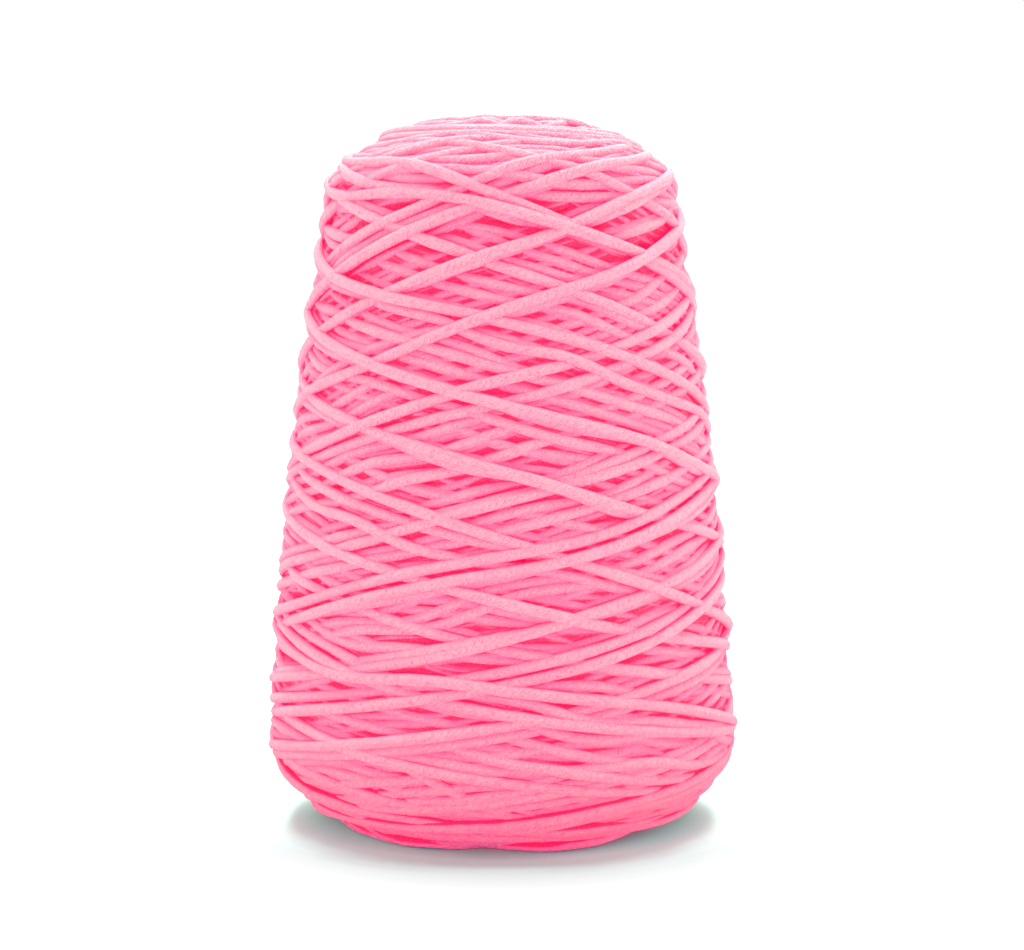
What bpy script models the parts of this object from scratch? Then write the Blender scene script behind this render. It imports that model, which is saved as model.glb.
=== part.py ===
"""A cone of chunky pink tufting yarn, cross-wound, as one solid.

The winder lays the yarn in two crossing families of helices, nearly level at the base
and steeper towards the nose, where the strokes turn back. The solid is the turned form
of the package. Its outer face is a lattice of points that lie where the main strands of
the two families cross, and each point is raised or sunk by what lies there. The tapered
bore is the hollow that the former leaves. Metres, +Z up, with the origin at the centre
of the flat base.
"""

import math
import random

import bmesh
import bpy

# The turned form
HEIGHT = 0.1712
FLAT_RADIUS = 0.038  # outer edge of the flat ring that the cone stands on
WIDEST_RADIUS = 0.0586
WIDEST_HEIGHT = 0.0225
SHOULDER_RADIUS = 0.0432
SHOULDER_HEIGHT = 0.1570
CROWN_RADIUS = 0.0215  # where the shoulder has turned level
FLANK_BULGE = 0.0019
BASE_FULLNESS = 1.62  # exponent of the superellipse: 1 is a chamfer, 2 an ellipse
SHOULDER_FULLNESS = 1.42

# The bore that the former leaves, half-angle close to 6 degrees
BORE_BASE_RADIUS = 0.0305
BORE_NOSE_RADIUS = 0.0130
BORE_EDGE = 0.0015
CROWN_LIP = 0.0045

# The winding
STRANDS = 15  # main strands in each of the two families
WANDER = 0.28  # how far a strand strays from even spacing, in half pitches
LEVEL_TURN_PITCH = 0.0044  # spacing of the level turns at the base and the nose
LEVEL_TURN_WAVE = 0.0006
WINDING_ANGLES = (
    # height above the base, climb of the strands in degrees
    (0.018, 8.0),
    (0.045, 10.0),
    (0.070, 11.5),
    (0.095, 14.0),
    (0.120, 17.5),
    (0.150, 19.5),
    (0.160, 16.0),
    (0.172, 12.0),
)
LATTICE_START = 0.016  # heights between which the crossing lattice runs
LATTICE_END = 0.1655

# What is raised, measured along the face's normal
CROSSING_RISE = 0.0006
STRAND_RISE = 0.0001
PIT_DEPTH = 0.0020
RIDGE_RISE = 0.0003
GROOVE_DEPTH = 0.0016
UNEVENNESS = 0.0004
SEED = 21

COLUMNS = 2 * STRANDS  # a crest and a valley for each strand
STEP = math.tau / COLUMNS
YARN_COLOUR = (1.0, 0.20, 0.38, 1.0)
YARN_ROUGHNESS = 0.9
SMOOTH_LIMIT = math.radians(75)
OUTLINE_POINTS = 60
STRIDE = 0.0002  # step along the outline while a strand's turning is summed
FADE_ROWS = 4  # rows over which the lattice's unevenness fades out at its ends
MERGE = 1e-6


def between(low, high, share):
    """The value a share of the way from low to high."""
    return low + (high - low) * share


def rounded(start, end, fullness, rising_first):
    """Points of a quarter superellipse from start to end, level at one end, upright at the other."""
    points = []
    for i in range(OUTLINE_POINTS + 1):
        turn = 0.5 * math.pi * i / OUTLINE_POINTS
        across = math.sin(turn) ** (2 / fullness)
        along = 1 - math.cos(turn) ** (2 / fullness)
        if rising_first:
            across, along = along, across
        points.append((between(start[0], end[0], across), between(start[1], end[1], along)))
    return points


def bulged_flank():
    """Points of the tapered flank, which swells a little between its ends."""
    points = []
    for i in range(1, OUTLINE_POINTS):
        share = i / OUTLINE_POINTS
        swell = FLANK_BULGE * 4 * share * (1 - share)
        radius = between(WIDEST_RADIUS, SHOULDER_RADIUS, share) + swell
        points.append((radius, between(WIDEST_HEIGHT, SHOULDER_HEIGHT, share)))
    return points


class Outline:
    """A profile of radius and height, read by the length along it."""

    def __init__(self, points):
        self.points = points
        self.lengths = [0.0]
        for first, second in zip(points, points[1:]):
            self.lengths.append(self.lengths[-1] + math.dist(first, second))

    def at(self, length):
        """The point at a length, and the outward normal there."""
        length = min(max(length, 0.0), self.lengths[-1])
        i = 1
        while i < len(self.lengths) - 1 and self.lengths[i] < length:
            i += 1
        first, second = self.points[i - 1], self.points[i]
        span = self.lengths[i] - self.lengths[i - 1]
        share = (length - self.lengths[i - 1]) / span
        point = (between(first[0], second[0], share), between(first[1], second[1], share))
        normal = ((second[1] - first[1]) / span, (first[0] - second[0]) / span)
        return point, normal

    def length_at_height(self, height):
        """The length at which the outline first reaches a height."""
        for (_, z), length in zip(self.points, self.lengths):
            if z >= height:
                return length
        return self.lengths[-1]


def package_outline():
    """The outer face, from the flat ring of the base over the flank to the crown."""
    corner = rounded(
        (FLAT_RADIUS, 0.0), (WIDEST_RADIUS, WIDEST_HEIGHT), BASE_FULLNESS, rising_first=False
    )
    shoulder = rounded(
        (SHOULDER_RADIUS, SHOULDER_HEIGHT), (CROWN_RADIUS, HEIGHT), SHOULDER_FULLNESS, rising_first=True
    )
    return Outline(corner + bulged_flank() + shoulder)


def climb_at(height):
    """The strands' climb in radians at a height, read from the table."""
    rows = WINDING_ANGLES
    if height <= rows[0][0]:
        return math.radians(rows[0][1])
    for (low, low_angle), (high, high_angle) in zip(rows, rows[1:]):
        if height <= high:
            share = (height - low) / (high - low)
            return math.radians(between(low_angle, high_angle, share))
    return math.radians(rows[-1][1])


def lattice_levels(outline):
    """The lengths along the outline at which a strand has turned by each half step."""
    length = outline.length_at_height(LATTICE_START)
    end = outline.length_at_height(LATTICE_END)
    levels, turned = [length], 0.0
    while length < end:
        (radius, height), _ = outline.at(length)
        turned += STRIDE / (radius * math.tan(climb_at(height)))
        length += STRIDE
        if turned >= STEP / 2:
            levels.append(length)
            turned -= STEP / 2
    return levels if len(levels) % 2 else levels[:-1]


def level_turns(start, end):
    """The lengths of the ridges and grooves of level turns, evenly between two lengths."""
    count = max(2, 2 * round((end - start) / LEVEL_TURN_PITCH))
    return [between(start, end, (i + 1) / (count + 1)) for i in range(count)]


class Strands:
    """The offsets and heights of the main strands of one family."""

    def __init__(self, draw):
        self.offsets = [draw.uniform(-WANDER, WANDER) for _ in range(COLUMNS)]
        self.heights = [draw.uniform(-UNEVENNESS, UNEVENNESS) for _ in range(COLUMNS)]

    def offset(self, column):
        """How far a strand, or the valley beside it, strays, in steps."""
        return self.offsets[column % COLUMNS]

    def height(self, column):
        """How far a strand stands above or below the others."""
        return self.heights[column % COLUMNS]


def point_on(radius, height, angle):
    """A point from its radius, height and angle round the axis."""
    return (radius * math.cos(angle), radius * math.sin(angle), height)


def lattice_rise(rising, falling, row, column):
    """How far a lattice point stands off the outline, from the strands that meet there."""
    on_rising = column % 2 == 0
    on_falling = (column + row) % 2 == 0
    own = rising.height(column), falling.height(column + row)
    if on_rising and on_falling:
        return CROSSING_RISE + max(own)
    if on_rising:
        return STRAND_RISE + own[0]
    if on_falling:
        return STRAND_RISE + own[1]
    return -PIT_DEPTH + 0.5 * sum(own)


def raised(outline, length, rise, angle):
    """A point that stands off the outline, never below the surface the cone stands on."""
    (radius, height), normal = outline.at(length)
    return point_on(radius + normal[0] * rise, max(height + normal[1] * rise, 0.0), angle)


def lattice_rows(outline, levels, first_row):
    """Rows of points where the two families cross, each row half a step on from the last."""
    draw = random.Random(SEED)
    rising, falling = Strands(draw), Strands(draw)
    last = len(levels) - 1
    rows = []
    for row, level in enumerate(levels):
        fade = min(1.0, min(row, last - row) / FADE_ROWS)
        spacing = levels[min(row + 1, last)] - levels[max(row - 1, 0)]
        points = []
        for column in range(COLUMNS + 1):
            up, down = rising.offset(column), falling.offset(column + row)
            length = level + fade * 0.5 * (down - up) * spacing
            angle = STEP * (column + (first_row + row) / 2 + fade * 0.5 * (up + down))
            rise = lattice_rise(rising, falling, row, column)
            points.append(raised(outline, length, rise, angle))
        rows.append(points)
    return rows


def level_rows(outline, lengths, first_row):
    """Rows of points along the ridges and grooves of the level turns, a little wavy."""
    rows = []
    for i, length in enumerate(lengths):
        rise = RIDGE_RISE if i % 2 else -GROOVE_DEPTH
        points = []
        for column in range(COLUMNS + 1):
            angle = STEP * (column + (first_row + i) / 2)
            wave = LEVEL_TURN_WAVE * (math.sin(2 * angle + i) + math.sin(3 * angle - 2 * i))
            points.append(raised(outline, length + wave, rise, angle))
        rows.append(points)
    return rows


def plain_rows(profile, first_row):
    """Rows of points round a plain turned stretch, given as radius and height."""
    rows = []
    for i, (radius, height) in enumerate(profile):
        shift = (first_row + i) / 2
        rows.append([point_on(radius, height, STEP * (c + shift)) for c in range(COLUMNS + 1)])
    return rows


def crown_and_bore():
    """The profile from the crown over its lip, down the bore and out to the base's flat ring."""
    lip_outer = BORE_NOSE_RADIUS + CROWN_LIP
    lip = [
        (lip_outer - CROWN_LIP * math.sin(turn), HEIGHT - CROWN_LIP * (1 - math.cos(turn)))
        for turn in (0.0, math.radians(30), math.radians(60), math.radians(90))
    ]
    edge = [(BORE_BASE_RADIUS, BORE_EDGE), (BORE_BASE_RADIUS + BORE_EDGE, 0.0)]
    return lip + edge


def package_rows():
    """All the rows of points, from the edge of the flat ring up, over and down the bore.

    Their number is even, so that the last row meets the first a whole number of steps on.
    """
    outline = package_outline()
    levels = lattice_levels(outline)
    rows = plain_rows([(FLAT_RADIUS, 0.0)], 0)
    rows += level_rows(outline, level_turns(0.0, levels[0]), len(rows))
    rows += lattice_rows(outline, levels, len(rows))
    rows += level_rows(outline, level_turns(levels[-1], outline.lengths[-1]), len(rows))
    rows += plain_rows(crown_and_bore(), len(rows))
    return rows


def rolled_mesh(rows, name):
    """A sheet of squares rolled into the closed form, its points placed row by row."""
    bm = bmesh.new()
    bmesh.ops.create_grid(bm, x_segments=COLUMNS, y_segments=len(rows), size=0.5)
    for vert in bm.verts:
        column = round((vert.co.x + 0.5) * COLUMNS)
        row = round((vert.co.y + 0.5) * len(rows))
        if row < len(rows):
            vert.co = rows[row][column]
        else:
            vert.co = rows[0][(column + len(rows) // 2) % COLUMNS]
    bmesh.ops.remove_doubles(bm, verts=bm.verts, dist=MERGE)
    bmesh.ops.triangulate(bm, faces=bm.faces, quad_method="SHORT_EDGE")
    bmesh.ops.recalc_face_normals(bm, faces=bm.faces)
    mesh = bpy.data.meshes.new(name)
    bm.to_mesh(mesh)
    bm.free()
    mesh.shade_smooth()
    mesh.set_sharp_from_angle(angle=SMOOTH_LIMIT)
    return mesh


def yarn_material():
    """Matte dyed yarn."""
    material = bpy.data.materials.new("yarn")
    material.use_nodes = True
    shader = material.node_tree.nodes["Principled BSDF"]
    shader.inputs["Base Color"].default_value = YARN_COLOUR
    shader.inputs["Roughness"].default_value = YARN_ROUGHNESS
    shader.inputs["Metallic"].default_value = 0.0
    return material


def main():
    """Clear the scene and build the wound cone."""
    for old in list(bpy.data.objects):
        bpy.data.objects.remove(old)
    mesh = rolled_mesh(package_rows(), "wound_yarn")
    mesh.materials.append(yarn_material())
    bpy.context.scene.collection.objects.link(bpy.data.objects.new("wound_yarn", mesh))


main()
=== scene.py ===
"""Looks of a cross-wound cone of pink tufting yarn, wound strand by strand.

The yarn is laid in strokes that climb from the base to the nose and back, each one
resting on what was laid before it. Every run of yarn is a real strand with its own
ply twist. Metres, +Z up, with the origin at the centre of the base.
"""

from __future__ import annotations

import logging
import math
from dataclasses import dataclass, field
from enum import Enum

import bmesh
import bpy
import numpy as np
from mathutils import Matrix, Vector


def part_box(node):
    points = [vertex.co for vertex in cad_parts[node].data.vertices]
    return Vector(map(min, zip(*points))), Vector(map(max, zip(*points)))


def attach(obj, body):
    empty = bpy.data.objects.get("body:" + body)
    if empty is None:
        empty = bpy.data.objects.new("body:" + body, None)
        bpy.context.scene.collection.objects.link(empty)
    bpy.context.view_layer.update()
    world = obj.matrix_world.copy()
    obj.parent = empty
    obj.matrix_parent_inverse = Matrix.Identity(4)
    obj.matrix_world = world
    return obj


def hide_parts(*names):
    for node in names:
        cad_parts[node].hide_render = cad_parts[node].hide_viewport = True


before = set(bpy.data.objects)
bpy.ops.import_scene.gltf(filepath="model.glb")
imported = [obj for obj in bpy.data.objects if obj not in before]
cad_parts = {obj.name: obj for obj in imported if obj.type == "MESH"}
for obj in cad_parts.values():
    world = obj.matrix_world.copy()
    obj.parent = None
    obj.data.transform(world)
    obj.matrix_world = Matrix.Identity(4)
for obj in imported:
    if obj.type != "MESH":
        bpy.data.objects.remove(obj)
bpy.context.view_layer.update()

LOG = logging.getLogger("yarn_cone")
NODE = "wound_yarn"
EASE_REACH = 12
SHORTEST_REST = 0.3
Array = np.ndarray
Colour = tuple[float, float, float, float]


class Way(Enum):
    """Which way a stroke of the winder's guide runs."""

    RISING = 1
    FALLING = -1


def smoothed(values: Array, width: float, wrap: bool = False) -> Array:
    """A row of values blurred by a bell curve.

    Args:
        values: The values, evenly spaced.
        width: The bell's standard deviation, in samples.
        wrap: Whether the row closes on itself.

    Returns:
        The blurred values.
    """
    reach = max(1, int(3 * width))
    bell = np.exp(-0.5 * (np.arange(-reach, reach + 1) / width) ** 2)
    padded = np.pad(values, reach, mode="wrap" if wrap else "edge")
    return np.convolve(padded, bell / bell.sum(), mode="valid")


def eased(values: Array, width: float) -> Array:
    """A row of values blurred inside, with both ends kept.

    Args:
        values: The values, evenly spaced.
        width: The bell's standard deviation, in samples.

    Returns:
        The blurred values, as many as there were.
    """
    slope_in, slope_out = values[1] - values[0], values[-1] - values[-2]
    reach = np.arange(1, EASE_REACH + 1)
    longer = np.concatenate([
        values[0] - slope_in * reach[::-1], values, values[-1] + slope_out * reach,
    ])
    return smoothed(longer, width)[EASE_REACH:-EASE_REACH]


def running_length(points: Array) -> Array:
    """How far along a path each of its points lies, from 0 at the first."""
    return np.concatenate([[0], np.cumsum(np.linalg.norm(np.diff(points, axis=0), axis=1))])


@dataclass(frozen=True)
class Outline:
    """The turned form of the package, from the base's flat ring to the crown."""

    height: float
    flat_radius: float = 0.038
    widest_radius: float = 0.0586
    widest_height: float = 0.0225
    shoulder_radius: float = 0.0432
    shoulder_height: float = 0.1570
    crown_radius: float = 0.0215
    nose_radius: float = 0.0165
    flank_bulge: float = 0.0019
    base_fullness: float = 1.62
    shoulder_fullness: float = 1.42
    corner_points: int = 200
    flank_points: int = 300
    step: float = 0.0004
    normal_evening: float = 0.0030
    base_margin: float = 0.001
    crown_margin: float = 0.0035

    def __post_init__(self) -> None:
        """Works out the outline's points and normals, evenly along its length."""
        quarter = np.linspace(0, 0.5 * math.pi, self.corner_points)
        rounded = np.sin(quarter) ** (2 / self.base_fullness)
        risen = 1 - np.cos(quarter) ** (2 / self.base_fullness)
        corner = np.stack([
            self.flat_radius + (self.widest_radius - self.flat_radius) * rounded,
            self.widest_height * risen,
        ], 1)
        share = np.linspace(0, 1, self.flank_points)[1:-1]
        swell = self.flank_bulge * 4 * share * (1 - share)  # the full bulge halfway up
        flank = np.stack([
            self.widest_radius + (self.shoulder_radius - self.widest_radius) * share + swell,
            self.widest_height + (self.shoulder_height - self.widest_height) * share,
        ], 1)
        inward = 1 - np.cos(quarter) ** (2 / self.shoulder_fullness)
        upward = np.sin(quarter) ** (2 / self.shoulder_fullness)
        shoulder = np.stack([
            self.shoulder_radius + (self.crown_radius - self.shoulder_radius) * inward,
            self.shoulder_height + (self.height - self.shoulder_height) * upward,
        ], 1)
        crown = np.array([[self.nose_radius, self.height]])
        points = np.concatenate([corner, flank, shoulder, crown])
        length = np.concatenate([[0], np.cumsum(np.hypot(*np.diff(points, axis=0).T))])
        even = np.arange(0, length[-1], self.step)
        radius = np.interp(even, length, points[:, 0])
        height = np.interp(even, length, points[:, 1])
        width = self.normal_evening / self.step
        across = smoothed(np.gradient(radius), width)
        along = smoothed(np.gradient(height), width)
        size = np.hypot(across, along)
        object.__setattr__(self, "length", even)
        object.__setattr__(self, "radius", radius)
        object.__setattr__(self, "rise", height)
        object.__setattr__(self, "normal", np.stack([along / size, -across / size], 1))
        object.__setattr__(self, "end", float(even[-1]))

    def radius_at(self, s: Array) -> Array:
        """The radius at a length along the outline."""
        return np.interp(s, self.length, self.radius)

    def height_at(self, s: Array) -> Array:
        """The height at a length along the outline."""
        return np.interp(s, self.length, self.rise)

    def normal_at(self, s: Array) -> tuple[Array, Array]:
        """The radial and upward parts of the outward normal at a length."""
        out, up = (np.interp(s, self.length, part) for part in self.normal.T)
        return out, up

    def place(self, s: Array, angle: Array, lift: Array, floor: float = 0.0) -> Array:
        """Points in space.

        Args:
            s: Length along the outline.
            angle: Turn round the axis, from +X.
            lift: Distance off the outline along its normal.
            floor: The lowest height that a point may have.

        Returns:
            An array of x, y, z rows.
        """
        out, up = self.normal_at(s)
        radius = self.radius_at(s) + out * lift
        height = np.maximum(self.height_at(s) + up * lift, floor)
        return np.stack([radius * np.cos(angle), radius * np.sin(angle), height], 1)

    def kept_inside(self, s: Array) -> Array:
        """Lengths along the outline, held a little inside both of its ends."""
        return np.clip(s, self.base_margin, self.end - self.crown_margin)


@dataclass(frozen=True)
class Yarn:
    """The yarn and how it packs."""

    thickness: float = 0.0029
    sinks: float = 0.0014
    proud: float = 0.38
    most_proud: float = 0.0020
    packing: float = 0.62
    deepest: float = 0.0024
    outside: float = 0.0001
    point_spacing: float = 0.0022
    sides_resolution: int = 2
    twist_pitch: float = 0.0078
    unevenness: float = 0.016
    swells: tuple[tuple[float, float], ...] = (
        # radians to a metre of yarn, and the phase
        (610.0, 0.0),
        (263.0, 1.0),
        (1130.0, 0.0),
    )

    @property
    def half(self) -> float:
        """Half the yarn's thickness."""
        return 0.5 * self.thickness

    @property
    def fullest_half(self) -> float:
        """Half the yarn's thickness where it is fullest."""
        return self.half * (1 + len(self.swells) * self.unevenness)


@dataclass(frozen=True)
class ClimbLaw:
    """How steeply the strands climb, by height, and where strokes turn back."""

    outline: Outline
    table: tuple[tuple[float, float], ...] = (
        # height, climb in degrees
        (0.000, 8.0),
        (0.018, 8.5),
        (0.045, 10.5),
        (0.070, 12.5),
        (0.095, 15.0),
        (0.120, 18.0),
        (0.150, 19.5),
        (0.162, 17.0),
        (0.171, 13.0),
    )
    base_turn: float = 0.010
    nose_turn_short: float = 0.013
    turn_reach: float = 0.009
    low_fade: float = 0.036
    high_fade: float = 0.028
    least_ease: float = 1e-4
    samples: int = 3000

    def __post_init__(self) -> None:
        """Sums the turning of a stroke from the base turn to the nose turn."""
        low, high = self.base_turn, self.outline.end - self.nose_turn_short
        s = np.linspace(low, high, self.samples)
        heights, degrees = zip(*self.table)
        climb = np.radians(np.interp(self.outline.height_at(s), heights, degrees))
        near = np.minimum(s - low, high - s)
        ease = np.sqrt(np.clip(near / self.turn_reach, self.least_ease, 1.0))
        rate = 1 / (self.outline.radius_at(s) * np.tan(climb) * ease)
        turned = np.concatenate([[0], np.cumsum(0.5 * (rate[1:] + rate[:-1]) * np.diff(s))])
        object.__setattr__(self, "s", s)
        object.__setattr__(self, "turned", turned)
        object.__setattr__(self, "whole", float(turned[-1]))

    def s_after(self, turned: Array) -> Array:
        """The length along the outline after a stroke has turned so far from the base."""
        return np.interp(turned, self.turned, self.s)

    def turned_at(self, s: float) -> float:
        """How far a stroke has turned from the base where it reaches a length."""
        return float(np.interp(s, self.s, self.turned))


@dataclass
class Stroke:
    """One pass of the yarn between a turn at the base and a turn at the nose.

    The yarn rests along a level arc before it climbs or falls. Marks are places that
    the stroke runs through, as angles round the axis and lengths along the outline.
    """

    way: Way
    law: ClimbLaw
    start: float
    rest: float
    low_shift: float = 0.0
    high_shift: float = 0.0
    stretch: float = 1.0
    came_from: float | None = None
    marks: tuple[tuple[float, float], ...] = ()
    ends_after: float | None = None
    usual_radius: float = 0.048
    join_reach: float = 0.030
    bend: float = 0.16
    free_turn: float = 1.9
    free_end: float = 1.6
    free_start: float = 9.0
    pull_before: float = 0.4

    def plain(self, turned: Array) -> Array:
        """The stroke's path when nothing pulls it.

        Args:
            turned: How far it has turned since it left its level arc.

        Returns:
            Its lengths along the outline.
        """
        law = self.law
        progress = turned / self.stretch
        s = law.s_after(progress if self.way is Way.RISING else law.whole - progress)
        low = self.low_shift * np.exp(-(s - law.s[0]) / law.low_fade)
        high = self.high_shift * np.exp(-(law.s[-1] - s) / law.high_fade)
        return s + low + high

    def route(self, spacing: float) -> tuple[Array, Array]:
        """The stroke's path.

        Args:
            spacing: Rough distance between its points.

        Returns:
            Its angles round the axis and its lengths along the outline.
        """
        step = spacing / self.usual_radius
        angle = self.start + np.arange(0, self.rest + self.law.whole * self.stretch, step)
        turned = np.maximum(angle - self.start - self.rest, 0.0)
        s = self.plain(turned)
        s = s + smoothed(np.interp(angle, *self.pulls()), self.bend / step)
        if self.came_from is not None:
            arc = (angle - self.start) * self.usual_radius
            s = s + (self.came_from - s[0]) * np.exp(-((arc / self.join_reach) ** 2))
        if self.ends_after is not None:
            last = self.pulls()[0][-2] + math.radians(self.ends_after)
            angle, s = angle[angle < last], s[angle < last]
        return angle, self.law.outline.kept_inside(s)

    def pulls(self) -> tuple[list[float], list[float]]:
        """How far the marks pull the path, eased off where they leave it free.

        Returns:
            Angles round the axis, and the pull along the outline at each.
        """
        begin = self.start + self.rest
        angles, pulls = [begin - self.free_start], [0.0]
        last = begin
        for mark, s in self.marks:
            turns = [last + (mark - last) % math.tau + math.tau * k for k in range(3)]
            plain = [float(self.plain(np.array([a - begin]))[0]) for a in turns]
            pick = min(range(3), key=lambda k: abs(plain[k] - s))
            angle, pull = turns[pick], s - plain[pick]
            if angle - last > self.free_turn:
                halfway = 0.5 * (pulls[-1] + pull)
                between = halfway if last > begin else self.pull_before * pull
                angles.append(0.5 * (last + angle))
                pulls.append(between)
            angles.append(angle)
            pulls.append(pull)
            last = angle
        angles.append(last + self.free_end)
        pulls.append(0.0)
        return angles, pulls

    @staticmethod
    def rest_before(
        law: ClimbLaw, way: Way, start: float, marks: tuple[tuple[float, float], ...]
    ) -> float:
        """The level arc to lay first, so that a stroke then runs through its marks.

        Args:
            law: How steeply the strands climb.
            way: Which way the stroke runs.
            start: The angle that it starts from.
            marks: The places that it runs through.

        Returns:
            The arc, at least the shortest one that a stroke rests for.
        """
        rests = []
        for mark, s in marks:
            turned = law.turned_at(s) if way is Way.RISING else law.whole - law.turned_at(s)
            rests.append(mark - turned - start)
        middle = rests[len(rests) // 2]
        near = [middle + (r - middle + math.pi) % math.tau - math.pi for r in rests]
        return (sum(near) / len(near) - SHORTEST_REST) % math.tau + SHORTEST_REST


@dataclass(frozen=True)
class Laid:
    """A stroke among the last ones, which lie outermost at the front.

    Its spots are degrees round from the front and millimetres up the outline, in the
    order that the yarn passes them. With none, the stroke goes where the pile is lowest.
    """

    way: Way
    spots: tuple[tuple[float, float], ...] = ()
    ends_after: float | None = None

    def marks(self) -> tuple[tuple[float, float], ...]:
        """The spots in radians and metres."""
        return tuple((math.radians(d - 90.0), 0.001 * mm) for d, mm in self.spots)


UP, DOWN = Way.RISING, Way.FALLING
OUTERMOST = (
    Laid(UP, ((0, 86), (22, 91))),
    Laid(DOWN, ((-37, 68), (-7, 61))),
    Laid(UP, ((16, 97), (38, 104))),
    Laid(DOWN, ((22, 78), (52, 72))),
    Laid(UP, ((-38, 82), (-8, 91))),
    Laid(DOWN),
    Laid(UP, ((-62, 131.5), (-44, 136.5))),
    Laid(DOWN),
    Laid(UP, ((-52, 102.5), (-20, 111), (12, 117))),
    Laid(DOWN, ((-28, 106.5), (10, 97), (36, 89.5))),
    Laid(UP, ((-62, 150), (-38, 156), (-27, 159), (-6, 166), (12, 172), (28, 173))),
    Laid(DOWN),
    Laid(UP, ((-58, 104), (-26, 113), (-10, 118), (27, 125.5))),
    Laid(DOWN),
    Laid(UP, ((-34, 54), (-8, 59.5), (10, 64.5), (-55, 145.5), (-26, 154.5), (-8, 160),
              (3, 162.5), (32, 170), (46, 172))),
    Laid(DOWN, ((-62, 172), (-32, 172), (-8, 164), (16, 157), (-13, 73.5), (32, 62.5))),
    Laid(UP, ((0, 54.5), (40, 63), (62, 70), (-32, 140.5), (-8, 147.5), (16, 153), (34, 160),
              (58, 166))),
    Laid(DOWN, ((-62, 162), (-44, 164), (-26, 163), (-8, 161), (22, 154), (48, 149),
                (-62, 101), (-26, 92), (10, 81.5))),
    Laid(UP, ((-62, 62.5), (-26, 72.5), (0, 77), (22, 80), (62, 91.5)), ends_after=110),
    Laid(DOWN, ((-62, 145), (-38, 139.5), (-7, 135), (27, 127.5), (62, 118.5),
                (-16, 48), (40, 39))),
    Laid(UP, ((-62, 66), (-28, 75.5), (-2, 80.5), (22, 83.5), (62, 95)), ends_after=125),
    Laid(UP, ((0, 51.5), (40, 60), (62, 67.5), (-62, 118), (-38, 123), (-14, 131.5),
              (10, 138.5), (34, 144), (62, 153.5))),
    Laid(DOWN, ((-62, 130), (-26, 120.5), (10, 112), (34, 107.5), (62, 99.5),
                (-62, 55), (-40, 51), (-16, 53.5), (2, 50.5), (40, 45.5))),
)


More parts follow.
